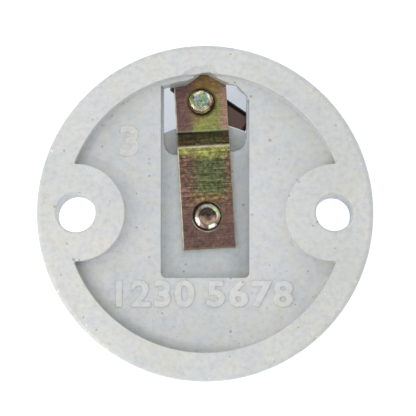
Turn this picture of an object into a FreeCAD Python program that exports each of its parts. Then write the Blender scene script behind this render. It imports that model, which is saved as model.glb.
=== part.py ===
import FreeCAD, Part
import math
import os

# Round porcelain lamp holder, millimetres.
# The origin is the centre of the mouth ring, +Z runs from the mouth to the flat back.
# +Y is the side of the line terminal, and the two fixing holes lie along X.

Vec = FreeCAD.Vector
Z_AXIS = Vec(0, 0, 1)

# Heights along the axis
total_height = 38.0
recess_depth = 4.0
pocket_depth = 3.5
ledge_step = 3.0
web_thickness = 3.0
flange_edge_height = 8.5

# Rim and recess of the back
rim_width = 5.1
back_edge_round = 0.9
front_edge_round = 3.0
recess_floor_round = 0.8
boss_root_round = 0.7
rim_inner_round = 0.45

# Barrel
barrel_wall = 2.9
barrel_taper = 0.3
barrel_root_height = 21.5
barrel_root_round = 2.0
lip_round = 1.2
bore_clearance = 0.35

# Fixing holes, each in a round boss
fixing_edge_distance = 7.0
left_hole_radius = 3.5
right_hole_radius = 3.3
boss_radius = 8.7
seat_radius = 5.6
fixing_seat_depth = 10.0
hole_edge_round = 0.35

# Pocket behind the line strip
pocket_half_width = 7.9
pocket_lower_end = 11.4
pocket_corner_round = 0.9
window_inset = 0.45
ledge_reach = 5.7
ledge_skew = 3.4
ledge_corner_round = 2.2

# Ragged end of the window at the back, across and beyond the terminal's centre, from right to left
notch_clearance = 0.12
notch_side_drop = 0.9
notch_right_drop = 2.16
notch_right_lean = 0.36
ragged_end = [(6.94, 1.22), (5.85, 2.02), (4.63, 2.72), (3.27, 3.12), (2.31, 3.67), (1.76, 4.22),
              (1.7, 5.02), (-0.55, 5.05), (-2.19, 4.72), (-3.68, 3.92), (-4.36, 3.22), (-5.18, 2.77)]
ragged_right_corner = -0.5
ragged_left_corner = 2.2

# Terminal wells that open to the front
line_well_half_width = 11.0
shell_well_half_width = 7.0
well_beyond_screw = 4.57
well_wall = 4.15
well_corner_round = 1.5
screw_end_clearance = 0.45

# Stock of both terminal strips
strip_width = 9.5
strip_thickness = 1.0
strip_bend_angle = 45.0
strip_bend_round = 1.3
strip_inner_round = 0.3
strip_clearance = 0.35

# Line strip, set a little askew about its rivet
strip_angle = 3.27
rivet_x = 0.45
rivet_y = -0.25
strip_tail = 5.8
strip_bend_beyond_ledge = 1.45
strip_shoulder_beyond_screw = 2.77
strip_point_rise = 2.05
strip_point = [(0.71, 0.42), (0.42, 0.8), (0.3, 0.96), (0.02, 1.0), (-0.14, 0.78), (-0.34, 0.32),
               (-0.56, 0.08)]

# Rivet with a dished, rolled end
rivet_shank_radius = 1.6
rivet_clearance = 0.3
rivet_dish_radius = 1.55
rivet_dish_floor_radius = 1.25
rivet_wall_depth = 0.45
rivet_dish_depth = 1.6
rivet_roll_radius = 2.43
rivet_roll_height = 0.85
rivet_roll_round = 0.4
rivet_head_radius = 2.9
rivet_head_height = 0.9
rivet_head_round = 0.63
coined_ring_radius = 2.8
coined_ring_depth = 0.12

# Terminal screws and their clamp plates
terminal_setback = 4.28
screw_radius = 2.25
screw_running_gap = 0.05
screw_stand_out = 1.8
screw_point_round = 0.55
screw_dimple_radius = 0.9
screw_dimple_depth = 0.25
screw_head_radius = 3.7
screw_head_height = 2.4
screw_slot_width = 1.0
screw_slot_depth = 1.1
screw_slot_turn = 25.0
screw_head_round = 0.7
screw_end_room = 1.6
clamp_thickness = 1.0
clamp_hole_gap = 0.1
finger_angle = -34.0
finger_half_width = 3.2
finger_short_end = 3.4
finger_tail_end = 6.15
finger_tail_low = 1.35
finger_tail_high = 0.85
finger_tail_cut = 2.9
finger_long_end = 9.6
finger_corner_round = 0.5
finger_barrel_gap = 0.3
finger_lip_start = 4.1
finger_lip_drop = 1.5
finger_lip_round = 0.95
washer_half_length = 4.2
washer_half_width = 3.6
washer_corner = 0.9

# Screw shell for a medium screw cap
thread_pitch = 3.629
thread_mean_radius = 12.8
thread_amplitude = 0.55
shell_thickness = 0.4
shell_mouth_height = 3.2
shell_plain_length = 1.6
shell_fade_length = 2.6
shell_floor_width = 4.8
shell_lip_flare = 0.5
shell_columns = 24
shell_rows_per_turn = 9

# Screws that hold the shell's floor to the shell strip
fixing_screw_spread = 0.2842
fixing_screw_inset = 2.6
fixing_screw_radius = 1.25
fixing_screw_head_radius = 2.0
fixing_screw_head_height = 1.4
fixing_screw_depth = 2.2
fixing_screw_gap = 0.25
fixing_screw_point = 0.4
fixing_screw_head_round = 0.6
fixing_slot_width = 0.6
fixing_slot_depth = 0.7
fixing_slot_turns = {-1: -30.0, 1: 110.0}

# Shell strip
shell_strip_tail = 1.9
shell_strip_bend_inset = 3.1
shell_strip_corner = 1.6
strip_bend_room = 1.2

# Centre contact
spring_thickness = 0.5
spring_width = 5.6
spring_base_inset = 2.8
spring_fold_inset = 2.4
spring_fold_round = 1.1
spring_lean = 19.5
spring_tip_reach = 3.4
spring_tip_round = 1.4
button_radius = 2.1
button_height = 0.9
button_crown_round = 0.72
button_stem_radius = 0.8
button_clinch_radius = 1.3
button_clinch_height = 0.4

# Levels and reaches that follow from the sizes above
recess_floor = total_height - recess_depth
pocket_floor = recess_floor - pocket_depth
ledge_top = pocket_floor - ledge_step
socket_floor = ledge_top - web_thickness
strip_front = ledge_top
strip_back = strip_front + strip_thickness
clamp_front = strip_front - clamp_thickness
shell_floor_front = socket_floor - shell_thickness
bore_radius = thread_mean_radius + thread_amplitude + shell_thickness + bore_clearance
barrel_radius = bore_radius + barrel_wall
terminal_radius = barrel_radius + terminal_setback
well_outer_reach = terminal_radius + well_beyond_screw
flange_radius = well_outer_reach + well_wall
recess_radius = flange_radius - rim_width
fixing_place = flange_radius - fixing_edge_distance
ledge_start = barrel_radius - ledge_reach
strip_bend_at = ledge_start + strip_bend_beyond_ledge
strip_shoulder = terminal_radius + strip_shoulder_beyond_screw
fixing_screw_offset = strip_width * fixing_screw_spread
fixing_screw_reach = thread_mean_radius - fixing_screw_inset
shell_floor_hole_radius = thread_mean_radius - shell_floor_width
spring_base_end = shell_floor_hole_radius - spring_base_inset
spring_fold_at = shell_floor_hole_radius - spring_fold_inset
shell_strip_inner_end = fixing_screw_reach - shell_strip_tail
shell_strip_bend_at = barrel_radius - shell_strip_bend_inset
edge_front = total_height - flange_edge_height
fixing_seat = total_height - fixing_seat_depth
far = 2 * flange_radius


def box(x_low, x_high, y_low, y_high, z_low, z_high):
    return Part.makeBox(x_high - x_low, y_high - y_low, z_high - z_low, Vec(x_low, y_low, z_low))


def rod(radius, z_low, z_high, x=0.0, y=0.0):
    return Part.makeCylinder(radius, z_high - z_low, Vec(x, y, z_low))


def polygon(points, height):
    corners = [Vec(x, y, height) for x, y in points]
    return Part.makePolygon(corners + corners[:1])


def prism(points, z_low, z_high):
    return Part.Face(polygon(points, z_low)).extrude(Vec(0, 0, z_high - z_low))


def turned(points):
    """Solid turned about Z from its half section in radius and height."""
    corners = [Vec(r, 0, z) for r, z in points]
    section = Part.Face(Part.makePolygon(corners + corners[:1]))
    return section.revolve(Vec(0, 0, 0), Z_AXIS, 360)


def placed(shape, angle, x, y):
    """Copy turned by an angle about Z, then moved to x, y."""
    copy = shape.copy()
    copy.rotate(Vec(0, 0, 0), Z_AXIS, angle)
    copy.translate(Vec(x, y, 0))
    return copy


def is_circle_at(edge, radius, height):
    """True for a round edge of this radius about the axis at this height."""
    curve = edge.Curve
    if curve.TypeId != "Part::GeomCircle":
        return False
    middle = curve.Center
    off_axis = math.hypot(middle.x, middle.y)
    return off_axis < 0.01 and abs(curve.Radius - radius) < 0.01 and abs(middle.z - height) < 0.01


def edges_at(shape, radius, height):
    return [edge for edge in shape.Edges if is_circle_at(edge, radius, height)]


def flat_edges(shape, height):
    """Edges that lie wholly in one level plane."""
    box_of = [(edge, edge.BoundBox) for edge in shape.Edges]
    return [edge for edge, b in box_of if abs(b.ZMin - height) < 0.01 and abs(b.ZMax - height) < 0.01]


def upright_edges(shape):
    """Straight edges that stand along Z."""
    found = []
    for edge in shape.Edges:
        bound = edge.BoundBox
        if bound.XLength < 0.001 and bound.YLength < 0.001:
            found.append(edge)
    return found


def line_place(across, along):
    """Point of the line strip's own frame, given in the frame of the holder."""
    turn = math.radians(strip_angle)
    x = rivet_x + across * math.cos(turn) - along * math.sin(turn)
    y = rivet_y + across * math.sin(turn) + along * math.cos(turn)
    return x, y


def strip_end_points(clearance=0.0):
    """End of the line strip from its right shoulder to its left one."""
    half = strip_width / 2
    points = [(half, strip_shoulder + clearance)]
    for across, along in strip_point:
        points.append((across * half, strip_shoulder + along * strip_point_rise + clearance))
    return points + [(-half, strip_shoulder + clearance)]


def line_strip_outline():
    """Plan of the line strip: square tail, blunt off-centre point at the other end."""
    half = strip_width / 2
    return [(-half, -strip_tail), (half, -strip_tail)] + strip_end_points()


def recess_cutter():
    disc = rod(recess_radius, recess_floor, total_height + 1)
    for side in (-1, 1):
        disc = disc.cut(rod(boss_radius, recess_floor, total_height + 1, side * fixing_place, 0))
    disc = disc.makeFillet(boss_root_round, upright_edges(disc))
    return disc.makeFillet(recess_floor_round, flat_edges(disc, recess_floor))


def ledge_end_at(x):
    """Where the sunk ledge ends, a little askew across the pocket."""
    return ledge_start + math.tan(math.radians(ledge_skew)) * x


def notch_outlines():
    """Plans of the window: wide and ragged at the back, close round the strip's point in front."""
    half = pocket_half_width
    inner = half - window_inset
    start = ledge_end_at(inner) + ledge_corner_round
    wide = [(-half, start), (half, start), (half, terminal_radius + ragged_right_corner)]
    wide += [(across, terminal_radius + beyond) for across, beyond in ragged_end]
    wide += [(-half, terminal_radius + ragged_left_corner)]
    close = [line_place(across, along) for across, along in strip_end_points(notch_clearance)]
    shoulder_x, shoulder_y = close[0]
    left_x, left_y = close[-1]
    near = [(-inner, start), (inner, start), (inner, shoulder_y - notch_right_drop),
            ((inner + shoulder_x) / 2 + notch_right_lean, shoulder_y - notch_side_drop),
            ((inner + shoulder_x) / 2, shoulder_y - notch_side_drop / 4)]
    near += close
    near += [((left_x - inner) / 2, left_y), (-inner, left_y - notch_side_drop / 4)]
    return wide, near


def window_cutter():
    """Stepped way from the pocket to the front, with its ragged sloping end."""
    wide, near = notch_outlines()
    slope = Part.makeLoft([polygon(near, ledge_top), polygon(wide, total_height)], True, True)
    over = prism(wide, total_height, total_height + 1)
    under = prism(near, 0, ledge_top)
    way = slope.fuse([over, under])
    inner = pocket_half_width - window_inset
    plan = [(-inner, ledge_end_at(-inner)), (inner, ledge_end_at(inner)), (inner, barrel_radius),
            (-inner, barrel_radius)]
    shelf = prism(plan, ledge_top, pocket_floor + pocket_corner_round)
    inward = barrel_radius - ledge_corner_round
    corners = [edge for edge in upright_edges(shelf) if edge.BoundBox.YMin < inward]
    shelf = shelf.makeFillet(ledge_corner_round, corners)
    return way.fuse(shelf).cut(rod(barrel_radius, 0, ledge_top))


def line_well_cutter():
    well = box(-line_well_half_width, line_well_half_width, 0, well_outer_reach, 0, strip_back)
    well = well.makeFillet(well_corner_round, upright_edges(well))
    return well.cut(rod(barrel_radius, -1, strip_back + 1))


def shell_well_cutter():
    half = shell_well_half_width
    well = box(-half, half, -well_outer_reach, 0, 0, strip_back)
    well = well.makeFillet(well_corner_round, upright_edges(well))
    well = well.cut(rod(barrel_radius, -1, strip_back + 1))
    slot_half = strip_width / 2 + strip_clearance
    slot = box(-slot_half, slot_half, -barrel_radius - 1, strip_bend_room - shell_strip_bend_at,
               socket_floor, strip_back)
    channel = box(-slot_half, slot_half, -barrel_radius, strip_clearance - shell_strip_inner_end,
                  socket_floor, socket_floor + strip_thickness)
    end_hole = rod(screw_radius + screw_end_clearance, strip_front,
                   strip_back + screw_stand_out + screw_end_room, 0, -terminal_radius)
    return well.fuse([slot, channel, end_hole])


def fixing_cutters():
    cutters = []
    for side, radius in ((-1, left_hole_radius), (1, right_hole_radius)):
        x = side * fixing_place
        cutters.append(rod(radius, 0, total_height + 1, x, 0))
        cutters.append(rod(seat_radius, 0, fixing_seat, x, 0))
    return cutters


def make_porcelain_body():
    mouth_radius = barrel_radius - barrel_taper
    body = turned([(0, total_height), (flange_radius, total_height), (flange_radius, edge_front),
                   (barrel_radius, barrel_root_height), (mouth_radius, 0), (bore_radius, 0),
                   (bore_radius, socket_floor), (0, socket_floor)])
    body = body.makeFillet(back_edge_round, edges_at(body, flange_radius, total_height))
    body = body.makeFillet(front_edge_round, edges_at(body, flange_radius, edge_front))
    body = body.makeFillet(barrel_root_round, edges_at(body, barrel_radius, barrel_root_height))
    body = body.makeFillet(lip_round, edges_at(body, mouth_radius, 0))
    body = body.makeFillet(lip_round / 2, edges_at(body, bore_radius, 0))
    pocket = box(-pocket_half_width, pocket_half_width, -pocket_lower_end, barrel_radius,
                 pocket_floor, total_height + 1)
    low_corners = [edge for edge in upright_edges(pocket) if edge.BoundBox.YMax < 0]
    pocket = pocket.makeFillet(pocket_corner_round, low_corners)
    body = body.cut(recess_cutter())
    rim_edges = [edge for edge in flat_edges(body, total_height)
                 if edge.BoundBox.XMax < recess_radius + 0.1 and edge.BoundBox.XMin > -recess_radius - 0.1]
    body = body.makeFillet(rim_inner_round, rim_edges)
    body = body.cut(fixing_cutters())
    body = body.cut(pocket)
    body = body.cut(window_cutter())
    body = body.cut([line_well_cutter(), shell_well_cutter()])
    rivet_hole = rod(rivet_shank_radius + rivet_clearance, socket_floor - 1, pocket_floor + 1,
                     rivet_x, rivet_y)
    body = body.cut(rivet_hole)
    for side in (-1, 1):
        body = body.cut(rod(fixing_screw_radius + fixing_screw_gap, socket_floor - 1,
                            socket_floor + strip_thickness + fixing_screw_depth + fixing_screw_gap,
                            side * fixing_screw_offset, -fixing_screw_reach))
    mouths = []
    for edge in flat_edges(body, total_height):
        if edge.Curve.TypeId == "Part::GeomCircle" and edge.Curve.Radius < boss_radius / 2:
            mouths.append(edge)
    return body.makeFillet(hole_edge_round, mouths)


def bent_strip(start, bend_at, inner_level, end):
    """Flat stock with one sloping step, seen from its edge and given its width."""
    rise = strip_front - inner_level
    slope = abs(rise) / math.tan(math.radians(strip_bend_angle))
    inset = strip_thickness * math.tan(math.radians(strip_bend_angle / 2))
    if rise < 0:
        back = [(start, inner_level + strip_thickness), (bend_at, inner_level + strip_thickness),
                (bend_at + slope, strip_back), (end, strip_back)]
        front = [(end, strip_front), (bend_at + slope - inset, strip_front),
                 (bend_at - inset, inner_level), (start, inner_level)]
    else:
        back = [(start, inner_level + strip_thickness), (bend_at, inner_level + strip_thickness),
                (bend_at + slope, strip_back), (end, strip_back)]
        front = [(end, strip_front), (bend_at + slope + inset, strip_front),
                 (bend_at + inset, inner_level), (start, inner_level)]
    half = strip_width / 2
    corners = [Vec(-half, along, z) for along, z in back + front]
    sheet = Part.Face(Part.makePolygon(corners + corners[:1])).extrude(Vec(strip_width, 0, 0))
    outer = []
    inner = []
    for edge in sheet.Edges:
        bound = edge.BoundBox
        if bound.XLength < strip_width / 2 or bound.YLength > 0.01 or bound.ZLength > 0.01:
            continue
        if bound.YMin < start + 0.01 or bound.YMax > end - 0.01:
            continue
        low_bend = bound.YMin < bend_at + slope / 2
        on_back = abs(bound.ZMin - (inner_level + strip_thickness if low_bend else strip_back)) < 0.01
        convex = on_back == (low_bend == (rise < 0))
        (outer if convex else inner).append(edge)
    sheet = sheet.makeFillet(strip_bend_round, outer)
    rest = []
    for edge in sheet.Edges:
        bound = edge.BoundBox
        for old in inner:
            if (old.CenterOfMass - edge.CenterOfMass).Length < 0.01 and bound.XLength > strip_width / 2:
                rest.append(edge)
    return sheet.makeFillet(strip_inner_round, rest)


def make_line_strip():
    end = strip_shoulder + strip_point_rise + strip_thickness
    sheet = bent_strip(-strip_tail, strip_bend_at, pocket_floor, end)
    strip = sheet.common(prism(line_strip_outline(), 0, total_height))
    strip = strip.cut(rod(rivet_shank_radius, pocket_floor - 1, total_height))
    strip = strip.cut(rod(screw_radius + screw_running_gap, 0, total_height, 0, terminal_radius))
    floor = pocket_floor + strip_thickness
    ring = rod(coined_ring_radius, floor - coined_ring_depth, floor + 1)
    strip = strip.cut(ring.cut(rod(rivet_roll_radius, floor - 1, floor + 2)))
    return placed(strip, strip_angle, rivet_x, rivet_y)


def make_centre_rivet():
    base = socket_floor - spring_thickness
    seat = pocket_floor + strip_thickness
    top = seat + rivet_roll_height
    points = [(0, base - rivet_head_height), (rivet_head_radius, base - rivet_head_height),
              (rivet_head_radius, base), (rivet_shank_radius, base), (rivet_shank_radius, seat),
              (rivet_roll_radius, seat), (rivet_roll_radius, top), (rivet_dish_radius, top),
              (rivet_dish_floor_radius, top - rivet_wall_depth), (0, top - rivet_dish_depth)]
    rivet = turned(points)
    rolled = edges_at(rivet, rivet_roll_radius, top) + edges_at(rivet, rivet_dish_radius, top)
    rivet = rivet.makeFillet(rivet_roll_round, rolled)
    head = edges_at(rivet, rivet_head_radius, base - rivet_head_height)
    rivet = rivet.makeFillet(rivet_head_round, head)
    return placed(rivet, 0, rivet_x, rivet_y)


def make_terminal_screw(x, y, turn):
    head_front = clamp_front - screw_head_height
    tip = strip_back + screw_stand_out
    screw = turned([(0, head_front), (screw_head_radius, head_front), (screw_head_radius, clamp_front),
                    (screw_radius, clamp_front), (screw_radius, tip), (screw_dimple_radius, tip),
                    (0, tip - screw_dimple_depth)])
    screw = screw.makeFillet(screw_head_round, edges_at(screw, screw_head_radius, head_front))
    screw = screw.makeFillet(screw_point_round, edges_at(screw, screw_radius, tip))
    slot = box(-far, far, -screw_slot_width / 2, screw_slot_width / 2, head_front - 1,
               head_front + screw_slot_depth)
    return placed(screw.cut(slot), turn, x, y)


def make_line_clamp_plate(x, y):
    half = finger_half_width
    outline = [(-finger_short_end, -half), (finger_long_end, -half), (finger_long_end, half),
               (-finger_tail_cut, half), (-finger_tail_end, finger_tail_high),
               (-finger_tail_end, -finger_tail_low), (-finger_short_end, -finger_tail_low)]
    plate = prism(outline, clamp_front, strip_front)
    plate = plate.makeFillet(finger_corner_round, upright_edges(plate))
    lip = box(finger_lip_start, finger_long_end, half - clamp_thickness, half,
              clamp_front - finger_lip_drop, strip_front)
    plate = plate.fuse(lip).removeSplitter()
    bend = []
    for edge in plate.Edges:
        bound = edge.BoundBox
        level = abs(bound.ZMin - strip_front) < 0.01 and abs(bound.ZMax - strip_front) < 0.01
        if level and abs(bound.YMin - half) < 0.01 and bound.YLength < 0.01 and bound.XLength > 2:
            bend.append(edge)
    plate = plate.makeFillet(finger_lip_round, bend)
    plate = plate.cut(rod(screw_radius + clamp_hole_gap, 0, total_height))
    plate = placed(plate, finger_angle, x, y)
    return plate.cut(rod(barrel_radius + finger_barrel_gap, 0, total_height))


def make_shell_clamp_plate():
    long = washer_half_length
    wide = washer_half_width
    cut = washer_corner
    outline = [(-long + cut, -wide), (long - cut, -wide), (long, -wide + cut), (long, wide - cut),
               (long - cut, wide), (-long + cut, wide), (-long, wide - cut), (-long, -wide + cut)]
    plate = prism(outline, clamp_front, strip_front)
    plate = plate.cut(rod(screw_radius + clamp_hole_gap, 0, total_height))
    return placed(plate, 0, 0, -terminal_radius)


def make_shell_strip():
    sheet = bent_strip(shell_strip_inner_end, shell_strip_bend_at, socket_floor, well_outer_reach)
    half = strip_width / 2
    end = well_outer_reach - strip_clearance
    corner = shell_strip_corner
    outline = [(-half, 0), (half, 0), (half, end - corner), (half - corner, end),
               (corner - half, end), (-half, end - corner)]
    strip = sheet.common(prism(outline, 0, total_height))
    strip = strip.cut(rod(screw_radius + screw_running_gap, 0, total_height, 0, terminal_radius))
    for side in (-1, 1):
        hole = rod(fixing_screw_radius, 0, total_height, side * fixing_screw_offset, fixing_screw_reach)
        strip = strip.cut(hole)
    return placed(strip, 180, 0, 0)


def shell_radius(angle, height, offset):
    """Radius of the rolled wall: a round helical thread that fades out, and a flared mouth."""
    low = shell_mouth_height + shell_plain_length
    high = shell_floor_front - shell_plain_length
    rise = min(1.0, max(0.0, (height - low) / shell_fade_length))
    fall = min(1.0, max(0.0, (high - height) / shell_fade_length))
    fade = math.sin(math.pi / 2 * min(rise, fall)) ** 2
    wave = math.cos(2 * math.pi * height / thread_pitch - angle)
    flare = shell_lip_flare * max(0.0, (low - height) / shell_plain_length) ** 2
    return thread_mean_radius + offset + flare + thread_amplitude * fade * wave


def rolled_surface(offset):
    """One side of the rolled wall: a smooth surface that closes on itself round the axis."""
    length = shell_floor_front - shell_mouth_height
    spans = int(round(length / thread_pitch * shell_rows_per_turn))
    swell = 3 / (2 + math.cos(2 * math.pi / shell_columns))
    steps = [0, 1 / 3] + list(range(1, spans)) + [spans - 1 / 3, spans]
    rows = []
    for i in range(shell_columns):
        angle = 2 * math.pi * i / shell_columns
        row = []
        for step in steps:
            height = shell_mouth_height + length * step / spans
            r = swell * shell_radius(angle, height, offset)
            row.append(Vec(r * math.cos(angle), r * math.sin(angle), height))
        rows.append(row)
    round_knots = list(range(shell_columns + 1))
    along_knots = list(range(spans + 1))
    along_mults = [4] + [1] * (spans - 1) + [4]
    surface = Part.BSplineSurface()
    surface.buildFromPolesMultsKnots(rows, [1] * (shell_columns + 1), along_mults, round_knots, along_knots,
                                     True, False, 3, 3)
    return surface.toShape()


def rolled_core(offset):
    """Closed solid inside one side of the rolled wall."""
    side = rolled_surface(offset)
    rings = [edge for edge in side.Edges if edge.BoundBox.ZLength < 0.001]
    caps = [Part.Face(Part.Wire([ring])) for ring in rings]
    skin = Part.makeShell([side] + caps)
    skin.sewShape()
    core = Part.makeSolid(skin)
    if core.Volume < 0:
        core.reverse()
    return core


def make_screw_shell():
    wall = rolled_core(shell_thickness).cut(rolled_core(0.0))
    floor = rod(thread_mean_radius + shell_thickness, shell_floor_front, socket_floor)
    floor = floor.makeFillet(shell_thickness / 2, edges_at(floor, thread_mean_radius + shell_thickness,
                                                           socket_floor))
    floor = floor.cut(rod(shell_floor_hole_radius, 0, total_height))
    for side in (-1, 1):
        floor = floor.cut(rod(fixing_screw_radius + clamp_hole_gap, shell_floor_front - 1, socket_floor + 1,
                              side * fixing_screw_offset, -fixing_screw_reach))
    return wall.fuse(floor)


def make_fixing_screws():
    screws = []
    for side in (-1, 1):
        x = side * fixing_screw_offset
        head_front = shell_floor_front - fixing_screw_head_height
        tip = socket_floor + strip_thickness + fixing_screw_depth
        screw = turned([(0, head_front), (fixing_screw_head_radius, head_front),
                        (fixing_screw_head_radius, shell_floor_front),
                        (fixing_screw_radius, shell_floor_front),
                        (fixing_screw_radius, tip - fixing_screw_point),
                        (fixing_screw_radius - fixing_screw_point, tip), (0, tip)])
        screw = screw.makeFillet(fixing_screw_head_round,
                                 edges_at(screw, fixing_screw_head_radius, head_front))
        screw = screw.cut(box(-far, far, -fixing_slot_width / 2, fixing_slot_width / 2, head_front - 1,
                              head_front + fixing_slot_depth))
        screws.append(placed(screw, fixing_slot_turns[side], x, -fixing_screw_reach))
    return Part.makeCompound(screws)


def tongue_slope():
    return math.tan(math.radians(spring_lean))


def fold_centre_height():
    return socket_floor - spring_thickness - spring_fold_round


def tongue_back(x):
    """Height of the tongue's back face, which leaves the fold at its lean."""
    lean = math.radians(spring_lean)
    start_x = spring_fold_at + spring_fold_round * math.sin(lean)
    start_z = fold_centre_height() - spring_fold_round * math.cos(lean)
    return start_z - (start_x - x) * tongue_slope()


def tongue_front(x):
    return tongue_back(x) - spring_thickness * math.hypot(1, tongue_slope())


def make_centre_spring():
    half = spring_width / 2
    lean = math.radians(spring_lean)
    base_back = socket_floor
    base_front = socket_floor - spring_thickness
    middle = fold_centre_height()
    outer = spring_fold_round + spring_thickness

    def at(x, z):
        return Vec(x, -half, z)

    def on_fold(radius):
        return at(spring_fold_at + radius * math.sin(lean), middle - radius * math.cos(lean))

    tip = -spring_tip_reach
    edges = [
        Part.makeLine(at(-spring_base_end, base_back), at(spring_fold_at, base_back)),
        Part.Arc(at(spring_fold_at, base_back), at(spring_fold_at + outer, middle),
                 on_fold(outer)).toShape(),
        Part.makeLine(on_fold(outer), at(tip, tongue_front(tip))),
        Part.makeLine(at(tip, tongue_front(tip)), at(tip, tongue_back(tip))),
        Part.makeLine(at(tip, tongue_back(tip)), on_fold(spring_fold_round)),
        Part.Arc(on_fold(spring_fold_round), at(spring_fold_at + spring_fold_round, middle),
                 at(spring_fold_at, base_front)).toShape(),
        Part.makeLine(at(spring_fold_at, base_front), at(-spring_base_end, base_front)),
        Part.makeLine(at(-spring_base_end, base_front), at(-spring_base_end, base_back)),
    ]
    leaf = Part.Face(Part.Wire(edges)).extrude(Vec(0, spring_width, 0))
    ends = [edge for edge in leaf.Edges
            if edge.BoundBox.YLength < 0.001 and edge.BoundBox.XLength < 0.001
            and edge.BoundBox.XMax < tip + 0.01]
    leaf = leaf.makeFillet(spring_tip_round, ends)
    margin = spring_thickness / 2
    base_hole = rod(rivet_shank_radius, base_front - margin, base_back + margin, rivet_x, rivet_y)
    return leaf.cut(base_hole).cut(rod(button_stem_radius, 0, middle))


def make_contact_button():
    face = tongue_front(-button_radius)
    back = tongue_back(button_clinch_radius)
    points = [(0, face - button_height), (button_radius, face - button_height), (button_radius, face),
              (button_stem_radius, face), (button_stem_radius, back), (button_clinch_radius, back),
              (button_clinch_radius, back + button_clinch_height), (0, back + button_clinch_height)]
    button = turned(points)
    crown = edges_at(button, button_radius, face - button_height)
    return button.makeFillet(button_crown_round, crown)


line_x, line_y = line_place(0, terminal_radius)

nodes = {
    "porcelain_body": make_porcelain_body(),
    "line_strip": make_line_strip(),
    "centre_rivet": make_centre_rivet(),
    "line_screw": make_terminal_screw(line_x, line_y, screw_slot_turn),
    "line_clamp_plate": make_line_clamp_plate(line_x, line_y),
    "screw_shell": make_screw_shell(),
    "shell_strip": make_shell_strip(),
    "shell_fixing_screws": make_fixing_screws(),
    "shell_screw": make_terminal_screw(0, -terminal_radius, -screw_slot_turn),
    "shell_clamp_plate": make_shell_clamp_plate(),
    "centre_spring": make_centre_spring(),
    "contact_button": make_contact_button(),
}

os.makedirs("parts", exist_ok=True)
for name, shape in nodes.items():
    shape.exportStep("parts/" + name + ".step")
    print(name, "solids", len(shape.Solids), "valid", shape.isValid(), "volume", round(shape.Volume, 2))
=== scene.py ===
import bmesh
import bpy
import math
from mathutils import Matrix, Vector, noise


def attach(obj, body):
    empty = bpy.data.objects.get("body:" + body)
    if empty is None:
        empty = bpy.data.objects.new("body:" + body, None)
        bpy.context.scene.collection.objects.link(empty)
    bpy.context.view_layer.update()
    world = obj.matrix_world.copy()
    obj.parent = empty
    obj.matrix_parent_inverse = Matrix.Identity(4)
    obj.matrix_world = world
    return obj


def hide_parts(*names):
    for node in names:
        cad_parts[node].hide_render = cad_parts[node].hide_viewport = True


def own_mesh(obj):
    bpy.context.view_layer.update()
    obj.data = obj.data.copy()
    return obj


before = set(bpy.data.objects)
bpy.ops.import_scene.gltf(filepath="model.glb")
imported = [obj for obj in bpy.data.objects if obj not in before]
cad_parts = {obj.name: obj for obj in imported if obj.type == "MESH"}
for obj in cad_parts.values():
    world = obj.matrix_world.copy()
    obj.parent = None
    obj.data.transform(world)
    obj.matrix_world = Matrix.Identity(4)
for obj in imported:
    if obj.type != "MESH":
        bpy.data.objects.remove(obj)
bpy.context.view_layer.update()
bpy.ops.object.select_all(action="DESELECT")
mm = 0.001
print("frame loaded,", len(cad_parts), "nodes")


# Small helpers for working in edit mode

def onlyThis(piece):
    bpy.ops.object.select_all(action="DESELECT")
    piece.select_set(True)
    bpy.context.view_layer.objects.active = piece


def pickEdges(piece, test):
    # selects by a test on each edge, in edit mode
    bpy.ops.mesh.select_mode(type="EDGE")
    bpy.ops.mesh.select_all(action="DESELECT")
    mesh = bmesh.from_edit_mesh(piece.data)
    found = [edge for edge in mesh.edges if test(edge)]
    for edge in found:
        edge.select_set(True)
    bmesh.update_edit_mesh(piece.data)
    return len(found)


def heightIs(edge, height):
    return all(abs(v.co.z - height * mm) < 0.00002 for v in edge.verts)


def fromAxis(v, x=0.0):
    return math.hypot(v.co.x / mm - x, v.co.y / mm)


def isUpright(edge):
    a, b = edge.verts
    return abs(a.co.x - b.co.x) < 1e-6 and abs(a.co.y - b.co.y) < 1e-6


def isSharp(edge):
    return edge.calc_face_angle(0) > 0.6


def roundEdges(piece, width, segments, test):
    onlyThis(piece)
    bpy.ops.object.mode_set(mode="EDIT")
    if pickEdges(piece, test):
        bpy.ops.mesh.bevel(offset=width * mm, segments=segments, affect="EDGES", clamp_overlap=True)
    bpy.ops.object.mode_set(mode="OBJECT")


def fixNormals(piece):
    onlyThis(piece)
    bpy.ops.object.mode_set(mode="EDIT")
    bpy.ops.mesh.select_all(action="SELECT")
    bpy.ops.mesh.remove_doubles(threshold=0.000002)
    bpy.ops.mesh.normals_make_consistent(inside=False)
    bpy.ops.object.mode_set(mode="OBJECT")


def applyPlace():
    bpy.ops.object.transform_apply(location=True, rotation=True, scale=True)


def extrudeUp(rise):
    bpy.ops.mesh.extrude_region_move(TRANSFORM_OT_translate={"value": (0, 0, rise * mm)})


def lathe(name, rings, sides, x=0.0, y=0.0):
    # a disc at the first ring, extruded and resized from ring to ring
    radius, height = rings[0]
    bpy.ops.mesh.primitive_circle_add(vertices=sides, radius=radius * mm, fill_type="NGON",
                                      location=(x * mm, y * mm, height * mm))
    piece = bpy.context.object
    piece.name = name
    applyPlace()
    bpy.ops.object.mode_set(mode="EDIT")
    for nextRadius, nextHeight in rings[1:]:
        extrudeUp(nextHeight - height)
        k = nextRadius / radius
        if abs(k - 1) > 1e-6:
            bpy.ops.transform.resize(value=(k, k, 1), center_override=(x * mm, y * mm, nextHeight * mm))
        radius, height = nextRadius, nextHeight
    bpy.ops.object.mode_set(mode="OBJECT")
    fixNormals(piece)
    return piece


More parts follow.
